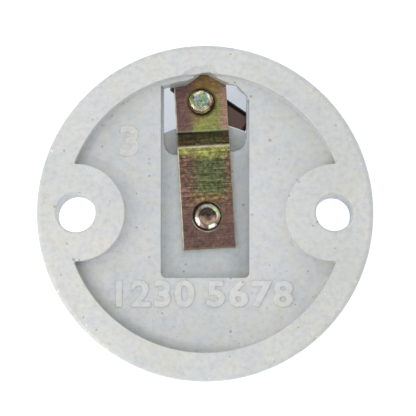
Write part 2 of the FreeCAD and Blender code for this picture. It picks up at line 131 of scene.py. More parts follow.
def stack(name, layers):
    # a disc whose rim is dragged to an outline, extruded from layer to layer; all have as many points
    outline, height = layers[0]
    bpy.ops.mesh.primitive_circle_add(vertices=len(outline), radius=mm, fill_type="NGON")
    piece = bpy.context.object
    piece.name = name
    bpy.ops.object.mode_set(mode="EDIT")
    mesh = bmesh.from_edit_mesh(piece.data)
    mesh.verts.ensure_lookup_table()
    for i, (px, py) in enumerate(outline):
        mesh.verts[i].co = Vector((px, py, height)) * mm
    bmesh.update_edit_mesh(piece.data)
    for nextOutline, nextHeight in layers[1:]:
        extrudeUp(nextHeight - height)
        mesh = bmesh.from_edit_mesh(piece.data)
        for v in [v for v in mesh.verts if v.select]:
            near = min(range(len(outline)), key=lambda i: (v.co.x / mm - outline[i][0]) ** 2
                       + (v.co.y / mm - outline[i][1]) ** 2)
            v.co.x, v.co.y = nextOutline[near][0] * mm, nextOutline[near][1] * mm
        bmesh.update_edit_mesh(piece.data)
        outline, height = nextOutline, nextHeight
    bpy.ops.object.mode_set(mode="OBJECT")
    fixNormals(piece)
    return piece


def block(name, low, high):
    size = [(b - a) * mm for a, b in zip(low, high)]
    middle = [(a + b) / 2 * mm for a, b in zip(low, high)]
    bpy.ops.mesh.primitive_cube_add(size=1, location=middle)
    piece = bpy.context.object
    piece.name = name
    piece.scale = size
    applyPlace()
    return piece


def combine(piece, other, how="DIFFERENCE"):
    onlyThis(piece)
    step = piece.modifiers.new("combine", "BOOLEAN")
    step.operation = how
    step.solver = "EXACT"
    step.object = other
    bpy.ops.object.modifier_apply(modifier=step.name)
    bpy.data.objects.remove(other)


def placePiece(piece, turn, x, y):
    piece.rotation_euler = (0, 0, math.radians(turn))
    piece.location = (x * mm, y * mm, 0)
    onlyThis(piece)
    applyPlace()


def finishPiece(piece, body, material, nodes, angle):
    onlyThis(piece)
    bpy.ops.object.shade_smooth_by_angle(angle=math.radians(angle))
    step = piece.modifiers.new("even shading", "WEIGHTED_NORMAL")
    step.keep_sharp = True
    bpy.ops.object.modifier_apply(modifier=step.name)
    piece.data.materials.clear()
    piece.data.materials.append(material)
    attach(piece, body)
    if nodes:
        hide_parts(*nodes)


# Materials

def newMaterial(name):
    material = bpy.data.materials.new(name)
    material.use_nodes = True
    tree = material.node_tree
    return material, tree, tree.nodes["Principled BSDF"]


def addNode(tree, kind, values=None, **settings):
    made = tree.nodes.new(kind)
    for key, value in settings.items():
        setattr(made, key, value)
    for key, value in (values or {}).items():
        made.inputs[key].default_value = value
    return made


def feed(tree, value, socket):
    # a plain number or colour is set on the socket, the rest is linked to it
    if isinstance(value, tuple):
        socket.default_value = (*value, 1)
    elif isinstance(value, (int, float)):
        socket.default_value = value
    else:
        tree.links.new(value, socket)


def objectPlace(tree):
    return addNode(tree, "ShaderNodeTexCoord").outputs["Object"]


def moved(tree, place, **values):
    made = addNode(tree, "ShaderNodeMapping", values)
    tree.links.new(place, made.inputs["Vector"])
    return made.outputs["Vector"]


def splitPlace(tree, place):
    parts = addNode(tree, "ShaderNodeSeparateXYZ")
    tree.links.new(place, parts.inputs[0])
    return parts.outputs


def flatPlace(tree, x, y):
    made = addNode(tree, "ShaderNodeCombineXYZ")
    tree.links.new(x, made.inputs[0])
    tree.links.new(y, made.inputs[1])
    return made.outputs[0]


def lengthOf(tree, place):
    made = addNode(tree, "ShaderNodeVectorMath", operation="LENGTH")
    tree.links.new(place, made.inputs[0])
    return made.outputs["Value"]


def noiseAt(tree, place, scale, detail, rough):
    made = addNode(tree, "ShaderNodeTexNoise", {"Scale": scale, "Detail": detail, "Roughness": rough})
    tree.links.new(place, made.inputs["Vector"])
    return made.outputs["Fac"]


def calc(tree, how, first, second):
    made = addNode(tree, "ShaderNodeMath", operation=how)
    feed(tree, first, made.inputs[0])
    feed(tree, second, made.inputs[1])
    return made.outputs[0]


def wander(tree, value, wobble, reach):
    # the value pushed about by a noise of 0 to 1
    return calc(tree, "ADD", value, calc(tree, "MULTIPLY", calc(tree, "SUBTRACT", wobble, 0.5), reach))


def held(tree, value):
    return calc(tree, "MINIMUM", calc(tree, "MAXIMUM", value, 0.0), 1.0)


def fromMm(tree, value, low, high):
    # 0 at the low end and 1 at the high end, both in mm
    shifted = calc(tree, "SUBTRACT", value, low * mm)
    return calc(tree, "DIVIDE", shifted, (high - low) * mm)


def ramp(tree, value, stops):
    # a stop has a colour, or one number for a grey
    made = addNode(tree, "ShaderNodeValToRGB")
    points = made.color_ramp.elements
    while len(points) < len(stops):
        points.new(0.5)
    for point, (at, colour) in zip(points, stops):
        point.position = at
        point.color = (*colour, 1) if isinstance(colour, tuple) else (colour, colour, colour, 1)
    tree.links.new(value, made.inputs["Fac"])
    return made.outputs["Color"]


def rising(tree, value, start, full):
    return ramp(tree, value, [(start, 0), (full, 1)])


def band(tree, value, start, full, fade, end, top=1):
    return ramp(tree, value, [(start, 0), (full, top), (fade, top), (end, 0)])


def mixColour(tree, share, first, second, how="MIX"):
    made = addNode(tree, "ShaderNodeMix", data_type="RGBA", blend_type=how)
    feed(tree, share, made.inputs[0])
    feed(tree, first, made.inputs[6])
    feed(tree, second, made.inputs[7])
    return made.outputs[2]


def times(tree, first, second):
    return mixColour(tree, 1.0, first, second, "MULTIPLY")


def dress(tree, shader, base, metal, source, smooth, dull):
    # colour, metal, and a roughness that follows the source
    feed(tree, base, shader.inputs["Base Color"])
    feed(tree, metal, shader.inputs["Metallic"])
    feed(tree, ramp(tree, source, [(0.3, smooth), (0.7, dull)]), shader.inputs["Roughness"])


def bumpFrom(tree, shader, height, depth, under=None):
    made = addNode(tree, "ShaderNodeBump", {"Strength": 1.0, "Distance": depth * mm})
    tree.links.new(height, made.inputs["Height"])
    if under is not None:
        tree.links.new(under, made.inputs["Normal"])
    tree.links.new(made.outputs["Normal"], shader.inputs["Normal"])
    return made.outputs["Normal"]


glaze = {
    "pale": (0.735, 0.73, 0.715), "grey": (0.68, 0.685, 0.67), "cool": (0.955, 0.975, 0.995),
    "warm": (1.02, 1.0, 0.945), "grain": (0.90, 0.90, 0.89), "grainGlint": 1.05, "rust": (0.40, 0.23, 0.10),
    "soot": (0.16, 0.15, 0.12), "glint": (1.0, 1.0, 1.0), "rimGlint": (0.98, 0.98, 1.0),
    # painted shade and light that go with the depth or the place; low also carries the bluer glaze of the
    # recess floor
    "low": (0.955, 0.97, 0.995), "proud": (1.04, 1.04, 1.04), "deep": (0.82, 0.86, 0.89),
    "foot": (0.66, 0.69, 0.68), "side": (0.80, 0.805, 0.81), "right": (0.935, 0.94, 0.935),
    "cloudScale": 75, "stainScale": 330, "grainScale": 1100, "pitScale": 2400, "speckEdge": 16.0,
    "coat": 0.3, "coatRoughness": 0.15,
    # scale of the cells, share of them left bare, size and strength of the speck, tint; the last two kinds
    # are pale specks painted as glints
    "specks": ((210, 0.84, 0.14, 0.7, "rust"), (430, 0.95, 0.15, 0.5, "soot"),
               (600, 0.89, 0.22, 0.6, "rust"), (900, 0.90, 0.22, 0.4, "rust"),
               (1300, 0.94, 0.3, 0.5, "soot"), (420, 0.86, 0.08, 0.8, "glint"),
               (1000, 0.72, 0.3, 0.7, "rimGlint")),
}


def makeGlaze():
    g = glaze
    material, tree, shader = newMaterial("porcelainGlaze")
    place = objectPlace(tree)
    clouds = noiseAt(tree, place, g["cloudScale"], 5, 0.55)
    grain = noiseAt(tree, place, g["grainScale"], 3, 0.6)
    pits = noiseAt(tree, place, g["pitScale"], 2, 0.5)
    stain = noiseAt(tree, place, g["stainScale"], 3, 0.6)
    base = ramp(tree, clouds, [(0.36, g["grey"]), (0.6, g["pale"])])
    base = times(tree, base, ramp(tree, grain, [(0.3, g["grain"]), (0.5, 1), (0.68, g["grainGlint"])]))
    base = times(tree, base, ramp(tree, stain, [(0.36, g["cool"]), (0.5, 1), (0.64, g["warm"])]))
    x, y, z = splitPlace(tree, place)
    away = lengthOf(tree, flatPlace(tree, x, y))
    # painted shade that deepens into the recess, the pocket and the front wells, with the thicker, bluer
    # glaze of the recess and the pocket; painted light on the raised parts just above the recess floor
    depthShading = ramp(tree, fromMm(tree, z, 22, 38),
                [(0.14, 1), (0.31, g["deep"]), (0.535, g["deep"]), (0.7, g["low"]), (0.753, g["low"]),
                 (0.7625, g["proud"]), (0.975, 1)])
    base = mixColour(tree, held(tree, fromMm(tree, away, 27.6, 27.0)), base, depthShading, "MULTIPLY")
    # painted shade: the right side darker, as if lit from the left
    base = mixColour(tree, held(tree, fromMm(tree, x, 6, 22)), base, g["right"], "MULTIPLY")
    # painted shadow along the foot of the wall at the lower left
    lower = calc(tree, "ADD", calc(tree, "MULTIPLY", x, 0.85), calc(tree, "MULTIPLY", y, 0.53))
    foot = band(tree, fromMm(tree, away, 22.9, 25.9), 0, 0.53, 0.7, 0.8)
    foot = calc(tree, "MULTIPLY", foot, held(tree, fromMm(tree, lower, -7, -20)))
    foot = calc(tree, "MULTIPLY", foot, band(tree, fromMm(tree, z, 32, 36), 0.1, 0.3, 0.65, 1))
    base = mixColour(tree, foot, base, g["foot"], "MULTIPLY")
    # painted shadow down the right side of the pocket
    side = band(tree, fromMm(tree, x, 0, 10), 0.35, 0.62, 0.84, 0.88)
    side = calc(tree, "MULTIPLY", side, band(tree, fromMm(tree, z, 29, 37), 0.12, 0.16, 0.5, 0.6))
    side = calc(tree, "MULTIPLY", side, band(tree, fromMm(tree, y, -13, 13), 0, 0.04, 0.88, 1))
    base = mixColour(tree, side, base, g["side"], "MULTIPLY")
    outer = held(tree, fromMm(tree, away, 27.2, 29.6))
    for scale, bare, size, strength, tint in g["specks"]:
        cells = addNode(tree, "ShaderNodeTexVoronoi", {"Scale": scale})
        tree.links.new(place, cells.inputs["Vector"])
        split = addNode(tree, "ShaderNodeSeparateColor")
        tree.links.new(cells.outputs["Color"], split.inputs["Color"])
        chosen = calc(tree, "GREATER_THAN", split.outputs["Red"], bare)
        reach = calc(tree, "MULTIPLY", split.outputs["Green"], size)
        inside = calc(tree, "SUBTRACT", reach, cells.outputs["Distance"])
        near = calc(tree, "MULTIPLY", inside, g["speckEdge"])
        spot = calc(tree, "MINIMUM", calc(tree, "MAXIMUM", near, 0.0), strength)
        if tint == "rimGlint":
            # painted glints: pale specks only along the fettled outer edge
            spot = calc(tree, "MULTIPLY", spot, outer)
        base = mixColour(tree, calc(tree, "MULTIPLY", chosen, spot), base, g[tint])
    dress(tree, shader, base, 0.0, grain, 0.48, 0.33)
    shader.inputs["Coat Weight"].default_value = g["coat"]
    shader.inputs["Coat Roughness"].default_value = g["coatRoughness"]
    low = bumpFrom(tree, shader, clouds, 0.2)
    low = bumpFrom(tree, shader, grain, 0.035, low)
    bumpFrom(tree, shader, pits, 0.015, low)
    return material


porcelainGlaze = makeGlaze()
print("materials made")


# Porcelain

body = {
    "flangeRadius": 30.0, "height": 38.0, "edgeFront": 29.5, "barrelRadius": 17.0, "mouthRadius": 16.7,
    "mouth": 0.0, "barrelRoot": 21.5, "boreRadius": 14.1, "socketFloor": 24.5, "recessRadius": 24.9,
    "recessFloor": 34.0, "bossRadius": 8.7, "holeAt": 23.0, "leftHole": 3.5, "rightHole": 3.3,
    "seatRadius": 5.6, "seatHeight": 28.0, "pocketHalf": 7.9, "pocketEnd": -11.4, "pocketFloor": 30.5,
    "ledge": 27.5, "ledgeStart": 11.3, "ledgeTurn": 3.4, "windowHalf": 7.45, "wellReach": 25.85,
    "lineWellHalf": 11.0, "shellWellHalf": 7.0, "stripBack": 28.5, "chipHeight": 36.75, "hug": 0.09,
    "rightRun": 20.7, "leftRun": 23.2, "slotHalf": 5.1, "slot": (-18, -12.7), "channel": (-17, -7.95),
    "channelFloor": 23.5, "sides": 160,
    # how far the tools that cut it reach past the front and the back
    "below": -2.0, "above": 42.0,
    # width of each rounding
    "recessCorner": 0.7, "recessFoot": 0.8, "recessEdge": 0.7, "holeEdge": 0.35, "pocketCorner": 0.9,
    "pocketEdge": 0.22, "ledgeCorner": 2.2, "wellCorner": 1.5,
    # the turned edges: radius, height, width and segments of the rounding
    "turned": (("flangeRadius", "height", 0.9, 5), ("flangeRadius", "edgeFront", 1.68, 7),
               ("barrelRadius", "barrelRoot", 1.1, 5), ("mouthRadius", "mouth", 1.18, 6),
               ("boreRadius", "mouth", 0.6, 4)),
    # radius, low end, high end and place of the holes for screws and rivet
    "smallHoles": ((2.7, 27, 31.9, 0, -21.28), (1.9, 23.5, 31.5, 0.45, -0.25),
                   (1.5, 23.5, 27.95, -2.7, -10.2), (1.5, 23.5, 27.95, 2.7, -10.2)),
}
# the ragged end of the window, right to left: at the back, and close round the strip's point
wideNotch = [(7.9, 20.78), (6.94, 22.5), (5.85, 23.3), (4.63, 24.0), (3.27, 24.4), (2.31, 24.95),
             (1.76, 25.5), (1.7, 26.3), (-0.55, 26.33), (-2.19, 26.0), (-3.68, 25.2), (-4.36, 24.5),
             (-5.18, 24.05), (-7.9, 23.48)]
nearNotch = [(7.45, 21.99), (5.99, 23.25), (5.63, 23.93), (3.81, 24.15), (2.39, 24.93), (0.97, 25.63),
             (0.38, 25.93), (-0.95, 25.93), (-1.68, 25.44), (-2.58, 24.44), (-3.59, 23.89), (-5.67, 23.61),
             (-6.56, 23.61), (-7.45, 23.38)]
# lower edge of the chipped facet between the two
chipNotch = [(7.84, 20.9), (6.93, 22.0), (5.93, 22.85), (4.93, 23.3), (3.7, 23.7), (2.9, 24.1),
             (2.2, 24.54), (0.9, 25.3), (-0.44, 25.2), (-1.69, 24.85), (-2.81, 24.45), (-4.19, 24.2),
             (-5.06, 23.9), (-7.85, 23.2)]


def cutBack(piece):
    # the recess round its two bosses, then the fixing holes and the seats in front of them
    b = body
    recess = lathe("recess", [(b["recessRadius"], b["recessFloor"]), (b["recessRadius"], b["height"] + 2)],
                   b["sides"])
    for side in (-1, 1):
        boss = [(b["bossRadius"], b["recessFloor"] - 2), (b["bossRadius"], b["above"])]
        combine(recess, lathe("boss", boss, 96, side * b["holeAt"]))
    roundEdges(recess, b["recessCorner"], 4, lambda e: isUpright(e) and isSharp(e))
    roundEdges(recess, b["recessFoot"], 4, lambda e: heightIs(e, b["recessFloor"]) and isSharp(e))
    combine(piece, recess)
    roundEdges(piece, b["recessEdge"], 5, lambda e: heightIs(e, b["height"]) and isSharp(e)
               and all(fromAxis(v) < b["recessRadius"] + 0.1 for v in e.verts))
    for side, radius in ((-1, b["leftHole"]), (1, b["rightHole"])):
        x = side * b["holeAt"]
        combine(piece, lathe("hole", [(radius, b["below"]), (radius, b["above"])], 72, x))
        roundEdges(piece, b["holeEdge"], 3, lambda e: heightIs(e, b["height"]) and isSharp(e)
                   and all(fromAxis(v, x) < radius + 0.1 for v in e.verts))
        seat = [(b["seatRadius"], b["below"]), (b["seatRadius"], b["seatHeight"])]
        combine(piece, lathe("seat", seat, 72, x))


def barrelCore(top):
    radius = body["barrelRadius"]
    return lathe("barrelCore", [(radius, body["below"] - 2), (radius, top)], 128)


def cutWindow(piece):
    # the long pocket, then the stepped window with its ragged end and the ledge before it
    b = body
    half, wide = b["windowHalf"], b["pocketHalf"]
    pocket = block("pocket", (-wide, b["pocketEnd"], b["pocketFloor"]), (wide, 20, b["above"]))
    for v in pocket.data.vertices:
        if v.co.y > 0:
            v.co.y = (b["rightRun"] if v.co.x > 0 else b["leftRun"]) * mm
    roundEdges(pocket, b["pocketCorner"], 4, lambda e: isUpright(e) and e.verts[0].co.y < 0)
    combine(piece, pocket)
    roundEdges(piece, b["pocketEdge"], 2, lambda e: heightIs(e, b["recessFloor"]) and isSharp(e)
               and all(abs(v.co.x) < 8.1 * mm and v.co.y < 24 * mm for v in e.verts))
    skew = math.tan(math.radians(b["ledgeTurn"])) * half
    first = b["ledgeStart"] + skew + 2.2
    close = [(-half, first), (half, first)] + [(px, py - b["hug"]) for px, py in nearNotch]
    chip, ragged = ([(-wide, first), (wide, first)] + notch for notch in (chipNotch, wideNotch))
    window = stack("window", [(close, b["below"]), (close, b["stripBack"] + 0.2), (chip, b["chipHeight"]),
                              (ragged, b["height"]), (ragged, b["above"])])
    combine(window, barrelCore(b["ledge"]))
    combine(piece, window)
    ledge = [(-half, b["ledgeStart"] - skew), (half, b["ledgeStart"] + skew), (half, 17), (-half, 17)]
    shelf = stack("shelf", [(ledge, b["ledge"] - 0.004), (ledge, 31.4)])
    roundEdges(shelf, b["ledgeCorner"], 5, lambda e: isUpright(e) and e.verts[0].co.y < 13 * mm)
    combine(piece, shelf)


def cutWells(piece):
    # wells that open to the front, and the slot and holes behind the socket
    b = body
    reach = b["wellReach"]
    for half, start, end in ((b["lineWellHalf"], 0, reach), (b["shellWellHalf"], -reach, 0)):
        well = block("well", (-half, start, b["below"]), (half, end, b["stripBack"]))
        roundEdges(well, b["wellCorner"], 4, isUpright)
        combine(well, barrelCore(32))
        combine(piece, well)
    for (start, end), low, high in ((b["slot"], b["socketFloor"], b["stripBack"]),
                                    (b["channel"], b["channelFloor"], b["socketFloor"] + 1)):
        combine(piece, block("slot", (-b["slotHalf"], start, low), (b["slotHalf"], end, high)))
    for radius, low, high, x, y in b["smallHoles"]:
        combine(piece, lathe("hole", [(radius, low), (radius, high)], 48, x, y))


def makePorcelain():
    b = body
    outline = (("flangeRadius", "height"), ("flangeRadius", "edgeFront"), ("barrelRadius", "barrelRoot"),
               ("mouthRadius", "mouth"), ("boreRadius", "mouth"), ("boreRadius", "socketFloor"))
    piece = lathe("porcelain", [(b[radius], b[height]) for radius, height in outline], b["sides"])
    for radius, height, width, segments in b["turned"]:
        roundEdges(piece, width, segments, lambda e: heightIs(e, b[height])
                   and all(abs(fromAxis(v) - b[radius]) < 0.05 for v in e.verts))
    cutBack(piece)
    cutWindow(piece)
    cutWells(piece)
    fixNormals(piece)
    finishPiece(piece, "holder", porcelainGlaze, ["porcelain_body"], 32)
    print("porcelain made,", len(piece.data.polygons), "faces")


makePorcelain()


# Metal finishes

def named(tints, stops):
    return [(at, tints[name]) for at, name in stops]


def sweepTint(tree, place, stops, tints):
    # named tints by the turn round the z axis, from the left anticlockwise; it paints highlights and shade
    # that fall by the turn on round metal
    x, y = splitPlace(tree, place)[:2]
    turn = calc(tree, "DIVIDE", calc(tree, "ARCTAN2", y, x), 2 * math.pi)
    return ramp(tree, calc(tree, "ADD", turn, 0.5), named(tints, stops))


passivation = {
    "brown": (0.115, 0.070, 0.055), "plum": (0.113, 0.066, 0.061), "orange": (0.200, 0.118, 0.050),
    "gold": (0.190, 0.145, 0.053), "olive": (0.074, 0.086, 0.041), "lime": (0.195, 0.205, 0.066),
    "teal": (0.15, 0.24, 0.15), "pink": (0.30, 0.18, 0.15), "pale": (0.58, 0.53, 0.41),
    "rust": (0.066, 0.042, 0.032), "slope": (0.185, 0.175, 0.100), "amber": (0.158, 0.104, 0.050),
    "sage": (0.22, 0.24, 0.15), "turn": 3.27, "rivet": (0.45, -0.25), "halfWidth": 4.75, "tail": -5.8,
    "end": 26.2, "coin": 2.74, "metal": 0.9, "fine": 0.42, "strong": 0.92,
    # from the tail to the point, down the middle and at the edges
    "film": ((0.0, "plum"), (0.15, "brown"), (0.245, "brown"), (0.285, "amber"), (0.325, "olive"),
             (0.50, "olive"), (0.53, "lime"), (0.575, "lime"), (0.60, "slope"), (0.655, "slope"),
             (0.685, "lime"), (0.73, "lime"), (0.79, "gold"), (0.95, "orange")),
    "edges": ((0.0, "plum"), (0.3, "brown"), (0.52, "brown"), (0.56, "lime"), (0.61, "orange"),
              (0.66, "slope"), (0.70, "brown"), (0.8, "plum")),
    # middle, near and clear of the painted shade: a dark halo on the screw's lower right, a dark crescent
    # at the gap on the rivet's upper left
    "shades": (((0.2, 21.05, 0), 2.3, 3.0), ((-0.13, 0.12, 0), 2.56, 2.72)),
    "shadeTints": ((0, (0.12, 0.12, 0.11)), (0.4, (0.55, 0.52, 0.5)), (1, 1)),
}


def makePassivated():
    # a rainbow chromate film: plum at the edges, olive and gold where it is thicker, cross grain
    p = passivation
    material, tree, shader = newMaterial("passivatedStrip")
    turn = math.radians(-p["turn"])
    cx, cy = (c * mm for c in p["rivet"])
    back = (cy * math.sin(turn) - cx * math.cos(turn), -cx * math.sin(turn) - cy * math.cos(turn), 0)
    place = moved(tree, objectPlace(tree), Rotation=(0, 0, turn), Location=back)
    across, along = splitPlace(tree, place)[:2]
    cloud = noiseAt(tree, place, 330, 4, 0.62)
    fleck = noiseAt(tree, place, 1700, 3, 0.7)
    streak = noiseAt(tree, moved(tree, place, Scale=(150, 4200, 1200)), 1.0, 4, 0.65)
    width = fromMm(tree, across, -p["halfWidth"], p["halfWidth"])
    u = wander(tree, width, cloud, 0.34)
    v = wander(tree, fromMm(tree, along, p["tail"], p["end"]), cloud, 0.045)
    # beyond the step the lime runs further up on the right
    beyond = rising(tree, v, 0.655, 0.67)
    lag = calc(tree, "MULTIPLY", calc(tree, "SUBTRACT", u, 0.5), 0.30)
    late = calc(tree, "SUBTRACT", v, calc(tree, "MULTIPLY", lag, beyond))
    v = calc(tree, "MAXIMUM", late, calc(tree, "MINIMUM", v, 0.695))
    film = ramp(tree, v, named(p, p["film"]))
    edges = ramp(tree, v, named(p, p["edges"]))
    inside = ramp(tree, u, [(0.20, 0), (0.42, 1), (0.78, 1), (0.97, 0.1)])
    base = mixColour(tree, inside, edges, film)
    flush = ramp(tree, u, [(0.80, 0), (0.97, 0.75)])
    base = mixColour(tree, times(tree, flush, beyond), base, p["pink"])
    # rusty mottling near the tail
    low = ramp(tree, v, [(0.06, 0.75), (0.22, 0)])
    blot = rising(tree, noiseAt(tree, place, 900, 4, 0.7), 0.5, 0.6)
    base = mixColour(tree, times(tree, low, blot), base, p["rust"])
    # the grain is strongest between the rivet and the step
    marked = ramp(tree, v, [(0.2, p["fine"]), (0.3, p["strong"]), (0.6, p["strong"]), (0.68, p["fine"])])
    for grain, dark, bright in ((fleck, (0.42, 0.40, 0.38), (2.0, 1.95, 1.8)),
                                (streak, (0.45, 0.45, 0.44), (1.8, 1.75, 1.6))):
        grainTint = ramp(tree, grain, [(0.34, dark), (0.5, 1), (0.66, bright)])
        base = mixColour(tree, marked, base, grainTint, "MULTIPLY")
    # painted highlights mixed with bare metal worn through the film: on the bend, along the edges and the
    # tail, and round the coined ring, paler on its lower left
    wearAndSheen = ramp(tree, noiseAt(tree, place, 620, 3, 0.6), [(0.35, 0.38), (0.6, 0.9)])
    bend = band(tree, fromMm(tree, along, 12.2, 13.6), 0.2, 0.34, 0.5, 0.66)
    base = mixColour(tree, times(tree, bend, wearAndSheen), base, p["pale"])
    lip = ramp(tree, fromMm(tree, along, 15.2, 16.6), [(0.38, 0), (0.5, 0.6), (0.7, 0)])
    base = mixColour(tree, lip, base, p["teal"])
    rim = ramp(tree, width, [(0.014, 1), (0.026, 0), (0.987, 0), (0.995, 0.5)])
    base = mixColour(tree, times(tree, rim, wearAndSheen), base, p["pale"])
    foot = ramp(tree, fromMm(tree, along, p["tail"], p["tail"] + 1), [(0.1, 0.8), (0.3, 0)])
    base = mixColour(tree, times(tree, foot, wearAndSheen), base, p["gold"])
    flat = flatPlace(tree, across, along)
    ring = band(tree, fromMm(tree, lengthOf(tree, flat), p["coin"] - 0.3, p["coin"] + 0.3),
                0.28, 0.46, 0.6, 0.76, 0.8)
    lean = fromMm(tree, calc(tree, "ADD", across, along), -2.6, -0.4)
    ringTint = ramp(tree, lean, [(0, p["pale"]), (1, p["sage"])])
    base = mixColour(tree, times(tree, ring, wearAndSheen), base, ringTint)
    # painted shade round the screw and the rivet
    for middle, near, clear in p["shades"]:
        off = lengthOf(tree, moved(tree, flat, Location=[-c * mm for c in middle]))
        base = times(tree, base, ramp(tree, fromMm(tree, off, near, clear), p["shadeTints"]))
    dress(tree, shader, base, p["metal"], streak, 0.26, 0.42)
    bumpFrom(tree, shader, fleck, 0.022, bumpFrom(tree, shader, streak, 0.014))
    return material


def makeBright(name, tints, rough, bump, scale):
    # plated metal whose tint wanders between a few colours
    material, tree, shader = newMaterial(name)
    place = objectPlace(tree)
    cloud = noiseAt(tree, place, scale, 4, 0.6)
    dent = noiseAt(tree, place, scale * 2.5, 2, 0.5)
    step = 0.5 / (len(tints) - 1)
    base = ramp(tree, cloud, [(0.28 + step * i, tint) for i, tint in enumerate(tints)])
    dress(tree, shader, base, 1.0, dent, rough, rough * 1.7)
    bumpFrom(tree, shader, dent, bump * 0.4, bumpFrom(tree, shader, cloud, bump))
    return material


def centredPlace(tree, place, axis):
    # the place in the plane from an upright axis, and its distance from it as a share of 3 mm
    centred = moved(tree, place, Location=(-axis[0] * mm, -axis[1] * mm, 0), Scale=(1, 1, 0))
    return centred, fromMm(tree, lengthOf(tree, centred), 0, 3)


screwPlating = {
    "axis": (-0.764, 20.995), "teal": (0.15, 0.205, 0.165), "leaf": (0.20, 0.28, 0.14),
    "blue": (0.23, 0.26, 0.29), "lime": (0.34, 0.43, 0.15), "glintWhite": (0.95, 0.94, 0.86),
    "mint": (0.66, 0.80, 0.66), "pink": (0.50, 0.36, 0.30), "peach": (0.60, 0.40, 0.28),
    "shadeBark": (0.13, 0.095, 0.07), "steel": (0.40, 0.36, 0.28), "straw": (0.70, 0.62, 0.33),
    # across the point, then round the turned ring and round the rounding outside it
    "point": ((0.1, "blue"), (0.4, "teal"), (0.6, "leaf"), (0.8, "teal")),
    "inner": ((0.0, "leaf"), (0.1, "lime"), (0.26, "pink"), (0.345, "glintWhite"), (0.41, "shadeBark"),
              (0.5, "steel"), (0.58, "mint"), (0.68, "teal"), (0.75, "straw"), (0.85, "glintWhite"),
              (0.93, "shadeBark"), (1.0, "leaf")),
    "outer": ((0.0, "lime"), (0.07, "pink"), (0.22, "steel"), (0.34, "straw"), (0.41, "shadeBark"),
              (0.48, "peach"), (0.58, "pink"), (0.68, "teal"), (0.8, "shadeBark"), (0.9, "lime")),
    "speckle": ((0.36, (0.5, 0.52, 0.5)), (0.5, 1), (0.64, (1.6, 1.5, 1.4))),
}


def makeScrewFinish():
    # zinc with a passivated shimmer: teal point, lime and pink round it, and a broken bright ring of
    # painted highlight; the rings carry painted highlights and painted shade by the turn
    w = screwPlating
    material, tree, shader = newMaterial("zincScrew")
    place = objectPlace(tree)
    centred, radius = centredPlace(tree, place, w["axis"])
    wobble = noiseAt(tree, place, 1300, 3, 0.6)
    radius = wander(tree, radius, wobble, 0.13)
    side = wander(tree, splitPlace(tree, centred)[0], wobble, 1.6 * mm)
    tint = ramp(tree, fromMm(tree, side, -1.1, 0.9), named(w, w["point"]))
    # painted highlights and painted shade round the ring and the rounding, by the turn
    inner = sweepTint(tree, centred, w["inner"], w)
    outer = sweepTint(tree, centred, w["outer"], w)
    for start, full, beyond in ((0.40, 0.45, inner), (0.55, 0.60, outer), (0.79, 0.84, w["steel"])):
        tint = mixColour(tree, rising(tree, radius, start, full), tint, beyond)
    cloud = ramp(tree, noiseAt(tree, place, 2600, 3, 0.65), w["speckle"])
    speckled = ramp(tree, radius, [(0.79, 0.85), (0.9, 0.3)])
    dress(tree, shader, mixColour(tree, speckled, tint, cloud, "MULTIPLY"), 1.0, wobble, 0.14, 0.3)
    bumpFrom(tree, shader, wobble, 0.04)
    return material


rivetPlating = {
    "axis": (0.45, -0.25), "glintWhite": (1.0, 0.96, 0.93), "mint": (0.88, 1.0, 0.78),
    "rose": (0.36, 0.24, 0.20), "sage": (0.36, 0.40, 0.24), "grey": (0.30, 0.28, 0.25),
    "shadeBark": (0.11, 0.095, 0.075), "gold": (0.80, 0.62, 0.36), "plum": (0.55, 0.28, 0.34),
    "blush": (0.75, 0.50, 0.42), "dark": (0.045, 0.034, 0.034),
    # round the rolled rim, and in the lower half of the hollow
    "rim": ((0.0, "rose"), (0.04, "glintWhite"), (0.09, "glintWhite"), (0.14, "rose"), (0.25, "shadeBark"),
            (0.29, "mint"), (0.345, "glintWhite"), (0.39, "shadeBark"), (0.46, "rose"), (0.52, "sage"),
            (0.66, "sage"), (0.78, "grey"), (0.9, "shadeBark"), (1.0, "rose")),
    "hollow": ((0.38, "plum"), (0.47, "blush"), (0.56, "gold"), (0.64, "blush")),
}


def makeRivetFinish():
    # the rolled rim turns from pale to sage, with painted highlights and painted shade by the turn; the
    # hollow is painted dark above as shade and rosy below with a painted reflection, darker still at its
    # centre
    r = rivetPlating
    material, tree, shader = newMaterial("rivetPlate")
    place = objectPlace(tree)
    centred, radius = centredPlace(tree, place, r["axis"])
    cloud = noiseAt(tree, place, 800, 4, 0.6)
    dent = noiseAt(tree, place, 2000, 2, 0.5)
    # painted highlights and painted shade round the rolled rim
    rim = sweepTint(tree, centred, r["rim"], r)
    height = wander(tree, splitPlace(tree, centred)[1], cloud, 2.6 * mm)
    # painted shade above and at the centre of the hollow, painted reflection below
    below = ramp(tree, fromMm(tree, height, -0.5, 0.4), [(0, 1), (1, 0)])
    hollow = mixColour(tree, below, r["dark"], ramp(tree, cloud, named(r, r["hollow"])))
    hollow = times(tree, hollow, ramp(tree, radius, [(0.03, 0.15), (0.1, 1)]))
    tint = mixColour(tree, rising(tree, radius, 0.50, 0.55), hollow, rim)
    patchy = ramp(tree, dent, [(0.36, 0.6), (0.5, 1), (0.64, 1.3)])
    metal = ramp(tree, radius, [(0.48, 0.35), (0.54, 1)])
    dress(tree, shader, mixColour(tree, 0.8, tint, patchy, "MULTIPLY"), metal, dent, 0.14, 0.26)
    bumpFrom(tree, shader, dent, 0.06, bumpFrom(tree, shader, cloud, 0.14))
    return material


clampFilm = {
    "mauve": (0.105, 0.072, 0.058), "brown": (0.075, 0.050, 0.040), "axis": (-0.764, 20.995), "turn": -34,
    "lipStart": 2.1, "lipFull": 2.45, "lipShade": 0.10, "metal": 0.85,
}


